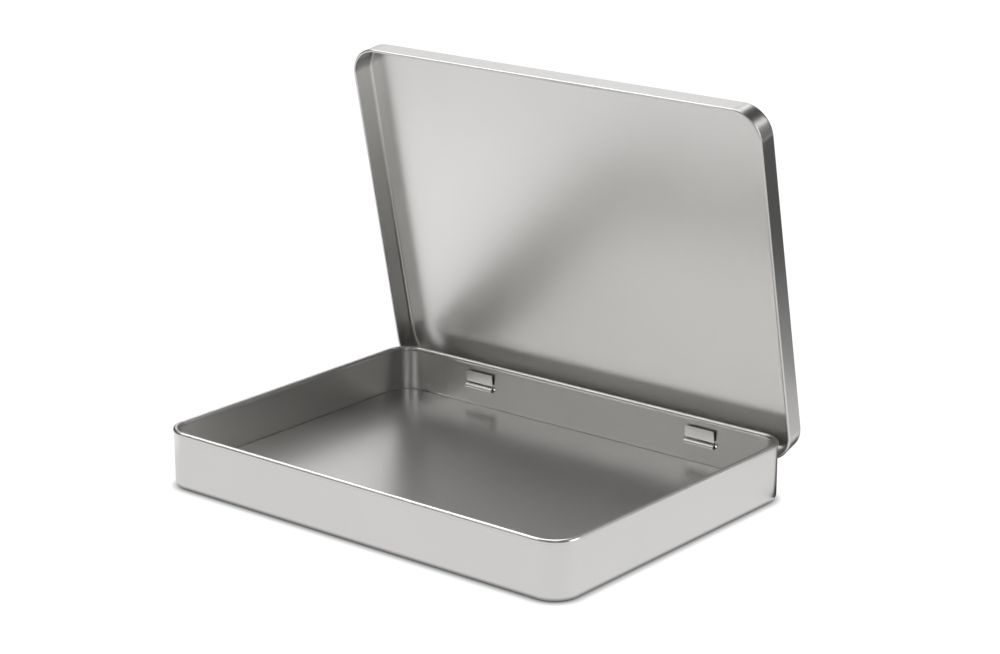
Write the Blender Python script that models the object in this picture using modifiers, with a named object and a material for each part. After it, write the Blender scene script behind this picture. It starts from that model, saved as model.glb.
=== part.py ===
"""Hinged tin box of bare tinplate: a shallow tray with a rolled rim and a bottom panel set in above
its foot, and a lid on two bent tabs.

Frame: metres, +Z up, the origin under the middle of the open box, on the plane of the tray's flat
foot.  X runs along the box, and the hinge is on the +Y side.  Everything is modelled about the tray's
middle, and hangs from an empty there.  The lid is modelled shut, round the hinge axis, and an empty
on that axis swings it open.
"""
import math

import bmesh
import bpy
from mathutils import Matrix, Vector

MM = 0.001

# Sheet metal
SHEET = 0.28 * MM                # tinplate
GAP = 0.3 * MM                   # clearance between parts that nearly touch

# Tray
TRAY_LENGTH = 190.0 * MM         # over the rolled rim
TRAY_WIDTH = 138.8 * MM
TRAY_HEIGHT = 23.0 * MM
TRAY_CORNER = 11.0 * MM          # radius in plan, over the rolled rim
TRAY_FILLET = 2.6 * MM           # from wall to foot, outside
FOOT_WIDTH = 6.0 * MM            # the wall's lower edge turned in under the tray
FLOOR_HEIGHT = 4.6 * MM          # top of the bottom panel, above the foot's underside
TRAY_ROLL = 2.0 * MM             # diameter of the rolled rim
TRAY_ROLL_PROUD = 0.4 * MM       # how far the rolled rim stands out from the wall

# Lid, over its own rolled rim
LID_OVERHANG = 1.2 * MM          # past the tray's rim, all round
LID_FRONT_ROOM = 0.3 * MM        # more at the front, where the rim swings past the tray's
LID_DEPTH = 9.4 * MM
LID_FILLET = 1.6 * MM            # from wall to panel, outside
LID_ROLL = 1.1 * MM
LID_ROLL_PROUD = 0.05 * MM

# Hinge
OPEN_ANGLE = math.radians(78.2)  # from shut to the pose modelled
AXIS_HEIGHT = 14.2 * MM
HINGE_SPACING = 108.4 * MM       # between the middles of the two tabs
HINGE_SHIFT = 0.8 * MM           # of the pair of tabs along X
TAB_WIDTH = 13.4 * MM
TAB_REACH = 4.6 * MM             # inwards of the axis
TAB_OFFSET = 0.6 * MM            # of the inner leg's mid-sheet under the axis, lid shut
TAB_BEND = 1.2 * MM              # where the tab turns in, under the axis
TAB_LEAN = 60                    # degrees the tab turns through there
TAB_KNEE = 0.8 * MM              # inwards of the axis, where the leg turns to stand along the open wall
SLOT_WIDTH = 15.2 * MM
SLOT_ABOVE = 0.2 * MM            # from the axis up
SLOT_BELOW = 1.25 * MM           # from the axis down
LIP_ROLL = 1.9 * MM              # rolled lip under each slot
LIP_INSET = 1.0 * MM             # middle of the roll, inwards of the axis
LIP_DROP = 2.05 * MM             # middle of the roll, below the axis

# Frame
FRAME_SHIFT = 4.34 * MM          # from the middle of the tray to the middle of the open box, along Y

# Fineness of the faceted round shapes
CORNER_SEGMENTS = 9
FILLET_SEGMENTS = 4
ROLL_RESOLUTION = 3              # a curve's bevel_resolution: 10 sides
LIP_SIDES = 16
BEND_STEPS = 6

# Sizes that follow
WALL_LENGTH = TRAY_LENGTH - 2 * TRAY_ROLL_PROUD
WALL_WIDTH = TRAY_WIDTH - 2 * TRAY_ROLL_PROUD
WALL_CORNER = TRAY_CORNER - TRAY_ROLL_PROUD
AXIS_INWARD = WALL_WIDTH / 2 - SHEET / 2     # the axis lies in the rear wall
HINGE_MIDDLES = (("left", HINGE_SHIFT - HINGE_SPACING / 2), ("right", HINGE_SHIFT + HINGE_SPACING / 2))
LID_LENGTH = TRAY_LENGTH + 2 * LID_OVERHANG
LID_WIDTH = TRAY_WIDTH + 2 * LID_OVERHANG + LID_FRONT_ROOM
LID_MIDDLE = -LID_FRONT_ROOM / 2             # along Y, lid shut
LID_CORNER = TRAY_CORNER + LID_OVERHANG
LID_TOP = TRAY_HEIGHT + GAP + SHEET          # outside of the panel, lid shut
LID_RIM = LID_TOP - LID_DEPTH                # lowest line of the lid, lid shut


def clear_scene():
    for old in list(bpy.data.objects):
        bpy.data.objects.remove(old, do_unlink=True)


def new_collection(name):
    collection = bpy.data.collections.new(name)
    bpy.context.scene.collection.children.link(collection)
    return collection


def tinplate(name, colour, roughness):
    material = bpy.data.materials.new(name)
    material.use_nodes = True
    shader = material.node_tree.nodes["Principled BSDF"]
    shader.inputs["Base Color"].default_value = (*colour, 1.0)
    shader.inputs["Metallic"].default_value = 1.0
    shader.inputs["Roughness"].default_value = roughness
    return material


def add_object(name, data, collection, parent=None):
    piece = bpy.data.objects.new(name, data)
    collection.objects.link(piece)
    piece.parent = parent
    return piece


def as_guide(piece):
    """A body that only shapes another one: it isn't rendered."""
    piece.hide_render = True
    piece.display_type = "WIRE"
    return piece


def mesh_from(bm, name):
    mesh = bpy.data.meshes.new(name)
    bm.to_mesh(mesh)
    bm.free()
    return mesh


def bevel_edges(bm, edges, radius, segments):
    bmesh.ops.bevel(bm, geom=edges, offset=radius, offset_type="OFFSET", segments=segments,
                    profile=0.5, affect="EDGES", clamp_overlap=False, material=-1)


def open_pan(name, length, width, height, corner, fillet):
    """A thin pan, open at the top, as one open surface: its outer face, bottom at z = 0."""
    bm = bmesh.new()
    bmesh.ops.create_cube(bm, size=1.0)
    bmesh.ops.translate(bm, verts=bm.verts, vec=(0, 0, 0.5))
    bmesh.ops.scale(bm, verts=bm.verts, vec=(length, width, height))
    top = [face for face in bm.faces if face.normal.z > 0.5]
    bmesh.ops.delete(bm, geom=top, context="FACES_ONLY")
    upright = [edge for edge in bm.edges if abs(edge.verts[0].co.z - edge.verts[1].co.z) > height / 2]
    bevel_edges(bm, upright, corner, CORNER_SEGMENTS)
    around = [edge for edge in bm.edges
              if max(vert.co.z for vert in edge.verts) < height * 0.01 and len(edge.link_faces) == 2
              and min(abs(face.normal.z) for face in edge.link_faces) < 0.5]
    bevel_edges(bm, around, fillet, FILLET_SEGMENTS)
    return mesh_from(bm, name)


def rounded_outline(length, width, corner, height):
    """Points of a rounded rectangle at one height, anticlockwise."""
    points = []
    for turn, (side_x, side_y) in enumerate(((1, 1), (-1, 1), (-1, -1), (1, -1))):
        middle = Vector((side_x * (length / 2 - corner), side_y * (width / 2 - corner), height))
        for step in range(CORNER_SEGMENTS + 1):
            angle = math.radians(90 * (turn + step / CORNER_SEGMENTS))
            points.append(middle + corner * Vector((math.cos(angle), math.sin(angle), 0)))
    return points


def rolled_rim(name, outline, diameter, collection, parent=None):
    """A closed ring of round section along an outline, as a mesh."""
    curve = bpy.data.curves.new(name, "CURVE")
    curve.dimensions = "3D"
    curve.twist_mode = "Z_UP"
    curve.bevel_depth = diameter / 2
    curve.bevel_resolution = ROLL_RESOLUTION
    spline = curve.splines.new("POLY")
    spline.points.add(len(outline) - 1)
    for point, place in zip(spline.points, outline):
        point.co = (*place, 1.0)
    spline.use_cyclic_u = True
    wire = add_object(name + "_wire", curve, collection)
    bpy.context.view_layer.update()
    evaluated = wire.evaluated_get(bpy.context.evaluated_depsgraph_get())
    mesh = bpy.data.meshes.new_from_object(evaluated)
    bpy.data.objects.remove(wire)
    bm = bmesh.new()
    bm.from_mesh(mesh)
    bmesh.ops.remove_doubles(bm, verts=bm.verts, dist=0.01 * MM)
    bmesh.ops.recalc_face_normals(bm, faces=bm.faces)
    bm.to_mesh(mesh)
    bm.free()
    return as_guide(add_object(name, mesh, collection, parent))


def box_body(name, low, high, collection):
    low, high = Vector(low), Vector(high)
    bm = bmesh.new()
    bmesh.ops.create_cube(bm, size=1.0)
    bmesh.ops.scale(bm, verts=bm.verts, vec=high - low)
    bmesh.ops.translate(bm, verts=bm.verts, vec=(low + high) / 2)
    return as_guide(add_object(name, mesh_from(bm, name), collection))


def slab_body(name, length, width, corner, low, high, collection):
    """A flat slab with rounded corners in plan."""
    bm = bmesh.new()
    bmesh.ops.create_cube(bm, size=1.0)
    bmesh.ops.scale(bm, verts=bm.verts, vec=(length, width, high - low))
    bmesh.ops.translate(bm, verts=bm.verts, vec=(0, 0, (low + high) / 2))
    upright = [edge for edge in bm.edges
               if abs(edge.verts[0].co.z - edge.verts[1].co.z) > (high - low) / 2]
    bevel_edges(bm, upright, corner, CORNER_SEGMENTS)
    return as_guide(add_object(name, mesh_from(bm, name), collection))


def rod_along_x(name, middle, length, diameter, collection):
    bm = bmesh.new()
    bmesh.ops.create_cone(bm, cap_ends=True, segments=LIP_SIDES, radius1=diameter / 2,
                          radius2=diameter / 2, depth=length)
    bmesh.ops.rotate(bm, verts=bm.verts, cent=(0, 0, 0), matrix=Matrix.Rotation(math.radians(90), 3, "Y"))
    bmesh.ops.translate(bm, verts=bm.verts, vec=middle)
    return as_guide(add_object(name, mesh_from(bm, name), collection))


def tab_strip(name, middle_x, collection, parent):
    """A bent tab round the hinge axis, lid shut: down from the lid's rim, and in through the slot."""
    rim_y = LID_MIDDLE + LID_WIDTH / 2 - LID_ROLL / 2 - AXIS_INWARD
    rim_z = LID_RIM + LID_ROLL / 2 - AXIS_HEIGHT
    lean = math.radians(TAB_LEAN)
    bend_z = TAB_BEND - TAB_OFFSET
    leg_z = bend_z - TAB_BEND * math.cos(lean)
    bend_y = rim_y - (rim_z - leg_z) / math.tan(lean) - TAB_BEND * math.sin(lean)
    path = [(rim_y, rim_z)]
    for step in range(BEND_STEPS + 1):
        angle = lean * (1 - step / BEND_STEPS)
        path.append((bend_y + TAB_BEND * math.sin(angle), bend_z - TAB_BEND * math.cos(angle)))
    path.append((-TAB_KNEE, -TAB_OFFSET))
    leg = TAB_REACH - TAB_KNEE
    path.append((-TAB_KNEE - leg * math.sin(OPEN_ANGLE), -TAB_OFFSET + leg * math.cos(OPEN_ANGLE)))
    bm = bmesh.new()
    start = [bm.verts.new((middle_x - TAB_WIDTH / 2, y, z)) for y, z in path]
    edges = [bm.edges.new(pair) for pair in zip(start, start[1:])]
    spread = bmesh.ops.extrude_edge_only(bm, edges=edges)
    far = [item for item in spread["geom"] if isinstance(item, bmesh.types.BMVert)]
    bmesh.ops.translate(bm, verts=far, vec=(TAB_WIDTH, 0, 0))
    bmesh.ops.recalc_face_normals(bm, faces=bm.faces)
    tab = add_object(name, mesh_from(bm, name), collection, parent)
    thicken(tab, 0.0)
    return as_guide(tab)


def thicken(piece, offset):
    solidify = piece.modifiers.new("sheet", "SOLIDIFY")
    solidify.thickness = SHEET
    solidify.offset = offset
    solidify.use_even_offset = True


def combine(piece, other, operation):
    boolean = piece.modifiers.new(operation.lower() + "_" + other.name, "BOOLEAN")
    boolean.operation = operation
    boolean.solver = "EXACT"
    boolean.object = other


def shade(piece, material):
    piece.data.materials.append(material)
    piece.data.shade_smooth()
    piece.data.set_sharp_from_angle(angle=math.radians(40))


def make_tray(parts, guides):
    roll_height = TRAY_HEIGHT - TRAY_ROLL / 2
    mesh = open_pan("tray", WALL_LENGTH, WALL_WIDTH, roll_height, WALL_CORNER, TRAY_FILLET)
    tray = add_object("tray", mesh, parts)
    shade(tray, tinplate("tray_tinplate", (0.66, 0.65, 0.63), 0.28))
    thicken(tray, -1.0)
    outline = rounded_outline(TRAY_LENGTH - TRAY_ROLL, TRAY_WIDTH - TRAY_ROLL,
                              TRAY_CORNER - TRAY_ROLL / 2, roll_height)
    combine(tray, rolled_rim("tray_rim", outline, TRAY_ROLL, guides), "UNION")
    combine(tray, slab_body("foot_opening", WALL_LENGTH - 2 * FOOT_WIDTH, WALL_WIDTH - 2 * FOOT_WIDTH,
                            WALL_CORNER - FOOT_WIDTH, -SHEET, 2 * SHEET, guides), "DIFFERENCE")
    combine(tray, slab_body("bottom_panel", WALL_LENGTH - SHEET, WALL_WIDTH - SHEET,
                            WALL_CORNER - SHEET / 2, FLOOR_HEIGHT - SHEET, FLOOR_HEIGHT, guides), "UNION")
    for side, middle_x in HINGE_MIDDLES:
        slot = box_body("slot_" + side,
                        (middle_x - SLOT_WIDTH / 2, AXIS_INWARD - SHEET * 2, AXIS_HEIGHT - SLOT_BELOW),
                        (middle_x + SLOT_WIDTH / 2, AXIS_INWARD + SHEET * 2, AXIS_HEIGHT + SLOT_ABOVE),
                        guides)
        combine(tray, slot, "DIFFERENCE")
        roll_y = AXIS_INWARD - LIP_INSET
        roll_z = AXIS_HEIGHT - LIP_DROP
        lip = rod_along_x("lip_roll_" + side, (middle_x, roll_y, roll_z), TAB_WIDTH, LIP_ROLL, guides)
        combine(tray, lip, "UNION")
    return tray


def make_lid(parts, guides):
    axis = add_object("hinge_axis", None, parts)
    axis.location = (0, AXIS_INWARD, AXIS_HEIGHT)
    axis.rotation_euler = (-OPEN_ANGLE, 0, 0)
    roll_height = LID_RIM + LID_ROLL / 2
    mesh = open_pan("lid", LID_LENGTH - 2 * LID_ROLL_PROUD, LID_WIDTH - 2 * LID_ROLL_PROUD,
                    LID_TOP - roll_height, LID_CORNER - LID_ROLL_PROUD, LID_FILLET)
    mesh.transform(Matrix.Translation((0, LID_MIDDLE - AXIS_INWARD, LID_TOP - AXIS_HEIGHT))
                   @ Matrix.Rotation(math.pi, 4, "X"))
    lid = add_object("lid", mesh, parts, axis)
    shade(lid, tinplate("lid_tinplate", (0.68, 0.67, 0.65), 0.28))
    thicken(lid, -1.0)
    outline = rounded_outline(LID_LENGTH - LID_ROLL, LID_WIDTH - LID_ROLL,
                              LID_CORNER - LID_ROLL / 2, roll_height - AXIS_HEIGHT)
    outline = [point + Vector((0, LID_MIDDLE - AXIS_INWARD, 0)) for point in outline]
    combine(lid, rolled_rim("lid_rim", outline, LID_ROLL, guides, axis), "UNION")
    for side, middle_x in HINGE_MIDDLES:
        combine(lid, tab_strip("tab_" + side, middle_x, guides, axis), "UNION")
    return lid


def main():
    clear_scene()
    parts = new_collection("hinged_tin_box")
    guides = new_collection("shaping_bodies")
    make_tray(parts, guides)
    make_lid(parts, guides)
    middle = add_object("tray_middle", None, parts)
    middle.location = (0, -FRAME_SHIFT, 0)
    for piece in bpy.data.objects:
        if piece.parent is None and piece != middle:
            piece.parent = middle


main()
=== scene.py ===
"""Looks of the hinged tin box: bare satin tinplate, an open lid over a shallow tray."""
import math

import bmesh
import bpy
from mathutils import Matrix, Vector


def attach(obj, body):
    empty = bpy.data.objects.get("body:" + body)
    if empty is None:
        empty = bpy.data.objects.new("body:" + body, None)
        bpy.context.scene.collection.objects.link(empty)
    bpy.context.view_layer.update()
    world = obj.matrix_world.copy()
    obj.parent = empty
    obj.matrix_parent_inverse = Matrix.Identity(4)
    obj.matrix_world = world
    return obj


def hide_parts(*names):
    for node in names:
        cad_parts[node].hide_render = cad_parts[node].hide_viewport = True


MM = 0.001

# Sheet
SHEET = 0.25 * MM

# Tray, outside sizes
TRAY_HALF = Vector((95.0, 69.4, 0.0)) * MM     # over the rolled rim
TRAY_HEIGHT = 23.0 * MM
TRAY_CORNER = 11.0 * MM                        # over the rolled rim, in plan
TRAY_FILLET = 2.6 * MM
FOOT_WIDTH = 6.0 * MM                          # the wall's lower edge turned in under the tray
FLOOR_HEIGHT = 4.6 * MM                        # top of the bottom panel
FLOOR_GAP = 0.45 * MM                          # between the bottom panel's edge and the wall
FLOOR_BEND = 0.6 * MM                          # radius of the panel's turned-down edge
FLOOR_SKIRT = 2.4 * MM                         # from the panel's top to the end of that edge
TRAY_ROLL = 1.0 * MM                           # radius of the rolled rim
TRAY_ROLL_PROUD = 0.4 * MM                     # of the rim beyond the wall
TRAY_ROLL_END = 240                            # degrees, where the roll's arc ends

# Lid, outside sizes, lid shut
LID_HALF = Vector((96.2, 70.75, 0.0)) * MM
LID_SHIFT = -0.15 * MM                         # middle of the lid along Y
LID_TOP = 23.58 * MM
LID_RIM = 14.18 * MM
LID_CORNER = 12.2 * MM
LID_FILLET = 1.6 * MM
LID_FLARE = math.radians(4.0)                  # of the walls, wider at the rim
LID_ROLL = 0.55 * MM
LID_ROLL_PROUD = 0.05 * MM
LID_ROLL_END = -230

# Hinge
AXIS = Vector((0.0, 68.86, 14.2)) * MM
OPEN_ANGLE = math.radians(78.2)
HINGES = (-53.4 * MM, 55.0 * MM)               # middle of each tab along X
TAB_HALF = 6.7 * MM
TAB_REACH = 4.6 * MM
TAB_OFFSET = 0.6 * MM
TAB_BEND = 1.2 * MM
TAB_LEAN = 60                                  # degrees the tab turns through
TAB_KNEE = 0.8 * MM                            # where its leg turns to stand along the wall
TAB_STAND = math.radians(6.0)                  # that the leg leans in from the wall, lid open
SLOT_HALF = 7.6 * MM
SLOT_ABOVE = 0.2 * MM                          # from the hinge axis up to the slot's upper edge
LIP_HALF = 6.7 * MM
LIP_ROLL = 0.95 * MM
LIP_ROLL_END = 300
LIP_DROP = 2.05 * MM                           # from the hinge axis down to the slot's lower edge

# Frame: the origin lies under the middle of the open box
FRAME_SHIFT = 4.34 * MM                        # from the tray's middle to there, along Y

# Fineness
CORNER_SEGMENTS = 28
FILLET_STEPS = 12
TRAY_ROLL_STEPS = 26
LID_ROLL_STEPS = 22
LIP_ROLL_STEPS = 25
TAB_BEND_STEPS = 12
SHARP_ANGLE = math.radians(32)
FLAT_WEIGHT = 90                               # how much the large faces steer the smooth shading
SAME_PLACE = 1e-6                              # points nearer than this lie in one place
CUT_TOLERANCE = 1e-7

# Tinplate
DULL_TONE = (0.745, 0.738, 0.722, 1.0)
BRIGHT_TONE = (0.805, 0.798, 0.784, 1.0)
GRAIN_IN_TONE = 0.4
CLOUD_IN_TONE = 0.6
ROUGHNESS = 0.255
GRAIN_ROUGHNESS = 0.05
CLOUD_ROUGHNESS = 0.03
GRAIN_STRETCH = (90.0, 2600.0, 2600.0)         # features per metre along and across the grain
CLOUD_SCALE = 38.0                             # features per metre
WAVE_SCALE = 14.0
GRAIN_DEPTH = 0.0012 * MM
WAVE_DEPTH = 0.05 * MM

# Camera, from the tray's middle
FOCAL_LENGTH = 97.64                           # in millimetres, as Blender gives it
SENSOR_WIDTH = 36.0
CAMERA_AZIMUTH = 39.13                         # degrees from the front, positive towards +X
CAMERA_ELEVATION = 16.99
CAMERA_DISTANCE = 1017.583 * MM
CAMERA_RIGHT = 9.785 * MM                      # sideways in the picture plane
CAMERA_RISE = 61.446 * MM
CLIP_START = 50.0 * MM
CLIP_END = 100.0

# Studio: sizes in metres, angles in degrees
WORLD_GLOW = 0.03
SOFTBOX_DISTANCE = 3.0
SOFTBOXES = (
    # name, azimuth, elevation, width, height, radiance
    ("white_backdrop", -142.5, 20, 1.75, 1.7, 0.72),
    ("rear_left_low", -134, 37, 1.0, 0.4, 0.9),
    ("rear_left_box", -135, 56, 2.1, 1.1, 2.6),
    ("top_box", -130, 77, 1.6, 1.4, 2.0),
    ("left_high_box", -82, 50, 1.6, 0.9, 2.6),
    ("front_left_box", -39, 37, 1.0, 1.2, 1.75),
    ("front_box", 0, 22, 1.2, 1.1, 0.7),
    ("front_right_box", 39.5, 37, 0.9, 0.7, 2.5),
    ("right_box", 112, 22, 1.7, 2.0, 3.0),
    ("rear_right_box", 141, 33, 0.7, 0.7, 1.8),
)
BACKDROP_RADIUS = 9.0
BACKDROP_GLOW = 1.0
FLOOR_REACH = 12.0
FLOOR_COLOUR = 0.15
FLOOR_GLOW = 0.97
STAGE_ROUGHNESS = 0.9
SHADE_REACH = 3.0 * MM                         # of the shade where the tin meets the table
SHADE_SAMPLES = 8
TABLE_DROP = 0.05 * MM                         # of the lowest patch below the tin's foot
# Painted light and shade on the table that only the tin mirrors: each patch glows instead of being lit,
# brighter where light pools; the patch under the lid, glow 0, is the lid's painted shadow behind the tray,
# and the far patch behind on the right is painted shade
TABLE_PATCHES = (
    # name, lowest and highest X, lowest and highest Y, glow; each lies a hair above the last
    ("table", -2.0, 2.0, -2.0, 2.0, 0.60),
    ("table_near", -0.35, 0.20, -0.35, 0.060, 0.80),
    ("table_left", -0.30, -0.13, -0.10, 0.02, 0.96),
    ("painted_lid_shadow", -0.13, 0.10, 0.060, 0.13, 0.0),
    ("table_right", 0.10, 0.22, 0.060, 0.12, 0.80),
    ("table_right_behind", 0.10, 0.22, 0.12, 0.20, 0.55),
    ("painted_shade_far_behind", 0.10, 0.90, 0.20, 1.20, 0.03),
    ("table_rear_right", 0.10, 0.32, 0.20, 0.32, 0.25),
    ("table_front_left", -0.60, 0.05, -0.75, -0.35, 1.2),
)


def span(first, last, steps):
    """Evenly spaced numbers from first to last, both included."""
    return [first + (last - first) * step / steps for step in range(steps + 1)]


def arc(middle, radius, first, last, steps):
    """Points (across, up) on an arc; angles in degrees from the across direction."""
    return [(middle[0] + radius * math.cos(math.radians(angle)),
             middle[1] + radius * math.sin(math.radians(angle))) for angle in span(first, last, steps)]


def extrude_to(bm, edges, place):
    """Extrudes edges once and moves each new vertex to place(vertex). Returns the new outer edges."""
    made = bmesh.ops.extrude_edge_only(bm, edges=edges)["geom"]
    for item in made:
        if isinstance(item, bmesh.types.BMVert):
            item.co = place(item.co.copy())
    sources = set(edges)
    return [item for item in made if isinstance(item, bmesh.types.BMEdge)
            and item not in sources and item.is_boundary and len(item.link_faces) == 1]


def pressed_pan(half, corner, profile):
    """A pressed pan as an open sheet: a flat panel, then its profile of (plan radius, height) steps."""
    core = Vector((half.x - corner, half.y - corner, 0.0))
    radius, height = profile[0]
    bm = bmesh.new()
    bmesh.ops.create_grid(bm, x_segments=1, y_segments=1, size=1.0)
    bmesh.ops.scale(bm, verts=bm.verts, vec=(core.x + radius, core.y + radius, 1.0))
    bmesh.ops.bevel(bm, geom=bm.verts[:], offset=radius, offset_type="OFFSET", segments=CORNER_SEGMENTS,
                    profile=0.5, affect="VERTICES", clamp_overlap=False, material=-1)
    bmesh.ops.translate(bm, verts=bm.verts, vec=(0.0, 0.0, height))
    rim = [edge for edge in bm.edges if edge.is_boundary]
    for radius, height in profile[1:]:
        def place(old, radius=radius, height=height):
            near = Vector((max(-core.x, min(core.x, old.x)), max(-core.y, min(core.y, old.y)), height))
            outward = Vector((old.x - near.x, old.y - near.y, 0.0)).normalized()
            return near + outward * radius
        rim = extrude_to(bm, rim, place)
    return bm


def flat_panel(bm):
    """The pan's flat panel, which is its largest face."""
    return max(bm.faces, key=lambda face: face.calc_area())


def turn_outwards(bm, panel_up):
    """Turns all faces so that the panel's outer side faces up or down."""
    bmesh.ops.recalc_face_normals(bm, faces=bm.faces)
    if (flat_panel(bm).normal.z > 0) != panel_up:
        bmesh.ops.reverse_faces(bm, faces=bm.faces)


def tray_wall_profile():
    """From the foot's inner edge out, up the wall and round the rolled rim."""
    wall = TRAY_CORNER - TRAY_ROLL_PROUD
    start = math.degrees(-math.acos((TRAY_ROLL - TRAY_ROLL_PROUD) / TRAY_ROLL))
    fillet = arc((wall - TRAY_FILLET, TRAY_FILLET), TRAY_FILLET, -90, 0, FILLET_STEPS)
    rim = arc((TRAY_CORNER - TRAY_ROLL, TRAY_HEIGHT - TRAY_ROLL), TRAY_ROLL,
              start, TRAY_ROLL_END, TRAY_ROLL_STEPS)
    return [(wall - FOOT_WIDTH, 0.0)] + fillet + rim


def tray_floor_profile():
    """The flat bottom panel and its turned-down edge."""
    edge = TRAY_CORNER - TRAY_ROLL_PROUD - SHEET - FLOOR_GAP
    bend = arc((edge - FLOOR_BEND, FLOOR_HEIGHT - FLOOR_BEND), FLOOR_BEND, 90, 0, FILLET_STEPS)
    return bend + [(edge, FLOOR_HEIGHT - FLOOR_SKIRT)]


def lid_profile():
    """From the lid's flat panel over its fillet, down the flared wall and round the rolled rim."""
    wall = LID_CORNER - LID_ROLL_PROUD
    start = math.degrees(math.acos((LID_ROLL - LID_ROLL_PROUD) / LID_ROLL))
    inset = math.tan(LID_FLARE) * (LID_TOP - LID_FILLET - LID_RIM - LID_ROLL)
    fillet = arc((wall - inset - LID_FILLET, LID_TOP - LID_FILLET), LID_FILLET, 90, 0, FILLET_STEPS)
    rim = arc((LID_CORNER - LID_ROLL, LID_RIM + LID_ROLL), LID_ROLL, start, LID_ROLL_END, LID_ROLL_STEPS)
    return fillet + rim


def cut_slot(bm, middle_x):
    """Cuts one hinge slot in the tray's rear wall and rolls the lip under it inwards."""
    wall_y = TRAY_HALF.y - TRAY_ROLL_PROUD
    low = AXIS.z - LIP_DROP
    high = AXIS.z + SLOT_ABOVE

    def wall_faces():
        return [face for face in bm.faces if all(abs(vert.co.y - wall_y) < SAME_PLACE for vert in face.verts)]

    sides = [middle_x + side * half for side in (-1, 1) for half in (SLOT_HALF, LIP_HALF)]
    cuts = [((x, 0, 0), (1, 0, 0)) for x in sides] + [((0, 0, z), (0, 0, 1)) for z in (low, high)]
    for place, across in cuts:
        faces = wall_faces()
        around = {edge for face in faces for edge in face.edges}
        corners = {vert for face in faces for vert in face.verts}
        bmesh.ops.bisect_plane(bm, geom=faces + list(around) + list(corners), dist=CUT_TOLERANCE,
                               plane_co=place, plane_no=across)
    window = [face for face in wall_faces()
              if abs(face.calc_center_median().x - middle_x) < SLOT_HALF
              and low < face.calc_center_median().z < high]
    bmesh.ops.delete(bm, geom=window, context="FACES")
    lip = [edge for edge in bm.edges if edge.is_boundary
           and all(abs(vert.co.z - low) < SAME_PLACE and abs(vert.co.y - wall_y) < SAME_PLACE
                   and abs(vert.co.x - middle_x) < LIP_HALF + SAME_PLACE for vert in edge.verts)]
    for y, z in arc((wall_y - LIP_ROLL, low), LIP_ROLL, 0, LIP_ROLL_END, LIP_ROLL_STEPS)[1:]:
        outer = extrude_to(bm, lip, lambda old, y=y, z=z: Vector((old.x, y, z)))
        lip = [edge for edge in outer if all(abs(vert.co.y - y) < SAME_PLACE
                                             and abs(vert.co.z - z) < SAME_PLACE for vert in edge.verts)]


def add_tab(bm, middle_x):
    """One bent tab of the lid, lid shut, about the hinge axis; the sheet's outer face."""
    half_sheet = SHEET / 2
    lean = math.radians(TAB_LEAN)
    rim_y = LID_SHIFT + LID_HALF.y - LID_ROLL - AXIS.y
    rim_z = LID_RIM + LID_ROLL - AXIS.z
    bend_z = TAB_BEND - TAB_OFFSET
    bend_end_z = bend_z - TAB_BEND * math.cos(lean)
    bend_y = rim_y - (rim_z - bend_end_z) / math.tan(lean) - TAB_BEND * math.sin(lean)
    path = [(rim_y + half_sheet * math.sin(lean), rim_z - half_sheet * math.cos(lean))]
    path += arc((bend_y, bend_z), TAB_BEND + half_sheet, TAB_LEAN - 90, -90, TAB_BEND_STEPS)
    path.append((-TAB_KNEE, -TAB_OFFSET - half_sheet))
    leg = TAB_REACH - TAB_KNEE
    turn = OPEN_ANGLE + TAB_STAND
    path.append((-TAB_KNEE - leg * math.sin(turn), -TAB_OFFSET - half_sheet + leg * math.cos(turn)))
    verts = [bm.verts.new((middle_x - TAB_HALF, AXIS.y + y, AXIS.z + z)) for y, z in path]
    edges = [bm.edges.new(pair) for pair in zip(verts, verts[1:])]
    made = bmesh.ops.extrude_edge_only(bm, edges=edges)["geom"]
    bmesh.ops.translate(bm, verts=[item for item in made if isinstance(item, bmesh.types.BMVert)],
                        vec=(2 * TAB_HALF, 0, 0))
    faces = [item for item in made if isinstance(item, bmesh.types.BMFace)]
    bmesh.ops.recalc_face_normals(bm, faces=faces)
    tip = min(faces, key=lambda face: face.calc_center_median().y)
    if tip.normal.z > 0:
        bmesh.ops.reverse_faces(bm, faces=faces)


def make_piece(name, bm, body, node_name, material):
    """A piece of sheet metal, modelled about the tray's middle and moved into the part's frame."""
    bmesh.ops.translate(bm, verts=bm.verts, vec=(0.0, -FRAME_SHIFT, 0.0))
    mesh = bpy.data.meshes.new(name)
    bm.to_mesh(mesh)
    bm.free()
    mesh.materials.append(material)
    mesh.shade_smooth()
    mesh.set_sharp_from_angle(angle=SHARP_ANGLE)
    piece = bpy.data.objects.new(name, mesh)
    bpy.context.scene.collection.objects.link(piece)
    sheet = piece.modifiers.new("sheet", "SOLIDIFY")
    sheet.thickness = SHEET
    sheet.offset = -1.0
    sheet.use_even_offset = True
    smoothing = piece.modifiers.new("smoothing", "WEIGHTED_NORMAL")
    smoothing.keep_sharp = True
    smoothing.weight = FLAT_WEIGHT
    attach(piece, body)
    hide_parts(node_name)


def make_tray(material):
    """The tray's wall with its foot, rim and hinge slots, and the bottom panel set in above the foot."""
    wall = pressed_pan(TRAY_HALF, TRAY_CORNER, tray_wall_profile())
    turn_outwards(wall, panel_up=False)
    bmesh.ops.delete(wall, geom=[flat_panel(wall)], context="FACES_ONLY")
    for middle_x in HINGES:
        cut_slot(wall, middle_x)
    floor = pressed_pan(TRAY_HALF, TRAY_CORNER, tray_floor_profile())
    turn_outwards(floor, panel_up=True)
    make_piece("tray_wall", wall, "base", "tray", material)
    make_piece("tray_floor", floor, "base", "tray", material)


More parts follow.
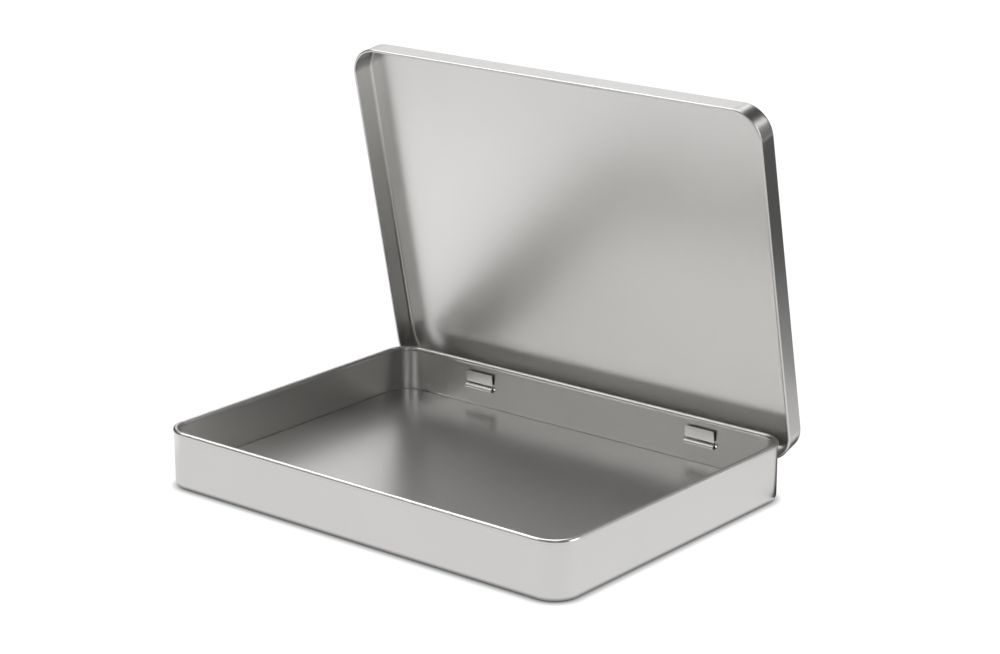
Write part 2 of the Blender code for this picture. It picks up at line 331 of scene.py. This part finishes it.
def make_lid(material):
    """The lid with its two tabs, modelled shut and then turned open about the hinge axis."""
    bm = pressed_pan(LID_HALF, LID_CORNER, lid_profile())
    turn_outwards(bm, panel_up=True)
    bmesh.ops.translate(bm, verts=bm.verts, vec=(0, LID_SHIFT, 0))
    for middle_x in HINGES:
        add_tab(bm, middle_x)
    bmesh.ops.rotate(bm, verts=bm.verts, cent=AXIS, matrix=Matrix.Rotation(-OPEN_ANGLE, 3, "X"))
    make_piece("pressed_lid", bm, "cover", "lid", material)


class Value:
    """A shader socket that takes Python arithmetic."""

    def __init__(self, tree, socket):
        self.tree = tree
        self.socket = socket

    def math(self, operation, first, second):
        made = node(self.tree, "ShaderNodeMath", {"operation": operation}, {0: first, 1: second})
        return Value(self.tree, made.outputs[0])

    def __add__(self, other):
        return self.math("ADD", self, other)

    def __radd__(self, other):
        return self.math("ADD", other, self)

    def __mul__(self, other):
        return self.math("MULTIPLY", self, other)

    def __rmul__(self, other):
        return self.math("MULTIPLY", other, self)


def node(tree, kind, settings=None, sockets=None):
    """Adds a node: settings first, then values or links of its sockets."""
    made = tree.nodes.new(kind)
    for key, value in (settings or {}).items():
        setattr(made, key, value)
    for key, value in (sockets or {}).items():
        if isinstance(value, Value):
            tree.links.new(value.socket, made.inputs[key])
        elif isinstance(value, bpy.types.NodeSocket):
            tree.links.new(value, made.inputs[key])
        else:
            made.inputs[key].default_value = value
    return made


def noise(tree, place, scale, detail, roughness):
    """Smooth noise over the sheet, as a value to reckon with."""
    made = node(tree, "ShaderNodeTexNoise", {"noise_dimensions": "3D"},
                {"Vector": place, "Scale": scale, "Detail": detail, "Roughness": roughness})
    return Value(tree, made.outputs[0])


def tinplate(name, lean):
    """Satin tinplate with a fine rolling grain along X and faint waves; lean turns the grain with the lid."""
    material = bpy.data.materials.new(name)
    material.use_nodes = True
    tree = material.node_tree
    shader = tree.nodes["Principled BSDF"]
    place = node(tree, "ShaderNodeTexCoord").outputs["Object"]
    flat = node(tree, "ShaderNodeMapping", {"vector_type": "POINT"},
                {"Vector": place, "Rotation": (lean, 0.0, 0.0)}).outputs[0]
    stretched = node(tree, "ShaderNodeMapping", {"vector_type": "POINT"},
                     {"Vector": flat, "Scale": GRAIN_STRETCH}).outputs[0]
    grain = noise(tree, stretched, scale=1.0, detail=3.0, roughness=0.6)
    cloud = noise(tree, flat, scale=CLOUD_SCALE, detail=3.0, roughness=0.55)
    waves = noise(tree, flat, scale=WAVE_SCALE, detail=1.0, roughness=0.4)
    tone = node(tree, "ShaderNodeMix", {"data_type": "RGBA"},
                {"Factor": grain * GRAIN_IN_TONE + cloud * CLOUD_IN_TONE, "A": DULL_TONE, "B": BRIGHT_TONE})
    tree.links.new(tone.outputs["Result"], shader.inputs["Base Color"])
    rough = ROUGHNESS + grain * GRAIN_ROUGHNESS + cloud * CLOUD_ROUGHNESS
    tree.links.new(rough.socket, shader.inputs["Roughness"])
    soft = node(tree, "ShaderNodeBump", {}, {"Strength": 1.0, "Distance": WAVE_DEPTH, "Height": waves})
    fine = node(tree, "ShaderNodeBump", {}, {"Strength": 1.0, "Distance": GRAIN_DEPTH, "Height": grain,
                                             "Normal": soft.outputs[0]})
    tree.links.new(fine.outputs[0], shader.inputs["Normal"])
    shader.inputs["Metallic"].default_value = 1.0
    return material


def direction(azimuth, elevation):
    """A unit vector; azimuth in degrees from the front (-Y), positive towards +X."""
    turn = math.radians(azimuth)
    lift = math.radians(elevation)
    return Vector((math.sin(turn) * math.cos(lift), -math.cos(turn) * math.cos(lift), math.sin(lift)))


def add_camera():
    """A long lens on the front right, a little above the box."""
    lens = bpy.data.cameras.new("camera")
    lens.lens = FOCAL_LENGTH
    lens.sensor_width = SENSOR_WIDTH
    lens.sensor_fit = "HORIZONTAL"
    lens.clip_start = CLIP_START
    lens.clip_end = CLIP_END
    camera = bpy.data.objects.new("camera", lens)
    away = direction(CAMERA_AZIMUTH, CAMERA_ELEVATION)
    right = direction(CAMERA_AZIMUTH + 90, 0)
    up = away.cross(right)
    camera.matrix_world = Matrix((right, up, away)).transposed().to_4x4()
    camera.location = CAMERA_DISTANCE * away + CAMERA_RIGHT * right + CAMERA_RISE * up
    camera.location.y -= FRAME_SHIFT
    bpy.context.scene.collection.objects.link(camera)
    bpy.context.scene.camera = camera


def softbox(name, azimuth, elevation, width, height, radiance):
    """A large soft area light that faces the tin."""
    lamp = bpy.data.lights.new(name, "AREA")
    lamp.shape = "RECTANGLE"
    lamp.size = width
    lamp.size_y = height
    lamp.energy = radiance * math.pi * width * height
    light = bpy.data.objects.new(name, lamp)
    away = direction(azimuth, elevation)
    light.location = away * SOFTBOX_DISTANCE
    light.rotation_euler = away.to_track_quat("Z", "Y").to_euler()
    light.visible_camera = False
    bpy.context.scene.collection.objects.link(light)


def flat_sheet(low_x, high_x, low_y, high_y, height):
    """A level rectangle."""
    bm = bmesh.new()
    bmesh.ops.create_grid(bm, x_segments=1, y_segments=1, size=1.0)
    bmesh.ops.scale(bm, verts=bm.verts, vec=((high_x - low_x) / 2, (high_y - low_y) / 2, 1.0))
    bmesh.ops.translate(bm, verts=bm.verts, vec=((low_x + high_x) / 2, (low_y + high_y) / 2, height))
    return bm


def dome(radius):
    """A ball seen from inside."""
    bm = bmesh.new()
    bmesh.ops.create_icosphere(bm, subdivisions=4, radius=radius)
    bmesh.ops.reverse_faces(bm, faces=bm.faces)
    return bm


def stage_surface(name, bm, colour, glow, for_camera, shaded):
    """A glowing surface that only the camera or only the tin sees; a shaded one fades under the tin."""
    mesh = bpy.data.meshes.new(name)
    bm.to_mesh(mesh)
    bm.free()
    material = bpy.data.materials.new(name)
    material.use_nodes = True
    tree = material.node_tree
    shader = tree.nodes["Principled BSDF"]
    shader.inputs["Base Color"].default_value = (colour, colour, colour, 1.0)
    shader.inputs["Roughness"].default_value = STAGE_ROUGHNESS
    shader.inputs["Specular IOR Level"].default_value = 0.0
    shader.inputs["Emission Color"].default_value = (1.0, 1.0, 1.0, 1.0)
    shader.inputs["Emission Strength"].default_value = glow
    if shaded:
        # painted shade: the glow dims where the tin stands near, after ambient occlusion
        near = node(tree, "ShaderNodeAmbientOcclusion", {"samples": SHADE_SAMPLES}, {"Distance": SHADE_REACH})
        tree.links.new(near.outputs["Color"], shader.inputs["Emission Color"])
    mesh.materials.append(material)
    surface = bpy.data.objects.new(name, mesh)
    bpy.context.scene.collection.objects.link(surface)
    surface.visible_camera = for_camera
    surface.visible_glossy = not for_camera
    surface.visible_diffuse = not for_camera
    surface.visible_shadow = False


def light_studio():
    """Softboxes all round, a white floor and backdrop for the camera, and the table that the tin mirrors, its
    light and shade painted into glowing patches.
    """
    world = bpy.data.worlds.new("studio")
    world.use_nodes = True
    bpy.context.scene.world = world
    sky = world.node_tree.nodes["Background"]
    sky.inputs["Color"].default_value = (1, 1, 1, 1)
    sky.inputs["Strength"].default_value = WORLD_GLOW
    for name, azimuth, elevation, width, height, radiance in SOFTBOXES:
        softbox(name, azimuth, elevation, width, height, radiance)
    stage_surface("backdrop", dome(BACKDROP_RADIUS), colour=0.0, glow=BACKDROP_GLOW,
                  for_camera=True, shaded=False)
    floor = flat_sheet(-FLOOR_REACH, FLOOR_REACH, -FLOOR_REACH, FLOOR_REACH, height=0.0)
    stage_surface("floor", floor, colour=FLOOR_COLOUR, glow=FLOOR_GLOW, for_camera=True, shaded=True)
    for layer, (name, low_x, high_x, low_y, high_y, glow) in enumerate(TABLE_PATCHES):
        height = TABLE_DROP * (layer / len(TABLE_PATCHES) - 1)
        patch = flat_sheet(low_x, high_x, low_y, high_y, height)
        stage_surface(name, patch, colour=0.0, glow=glow, for_camera=False, shaded=True)


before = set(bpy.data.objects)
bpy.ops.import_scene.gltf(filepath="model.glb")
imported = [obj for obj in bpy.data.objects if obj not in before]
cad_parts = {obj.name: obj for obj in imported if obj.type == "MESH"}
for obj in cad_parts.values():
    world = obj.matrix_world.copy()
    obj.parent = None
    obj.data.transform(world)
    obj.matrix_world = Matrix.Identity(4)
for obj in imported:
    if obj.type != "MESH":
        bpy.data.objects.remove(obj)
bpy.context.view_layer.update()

bpy.context.scene.view_settings.view_transform = "Standard"
add_camera()
light_studio()
make_tray(tinplate("tray_tinplate", lean=0.0))
make_lid(tinplate("lid_tinplate", lean=OPEN_ANGLE))
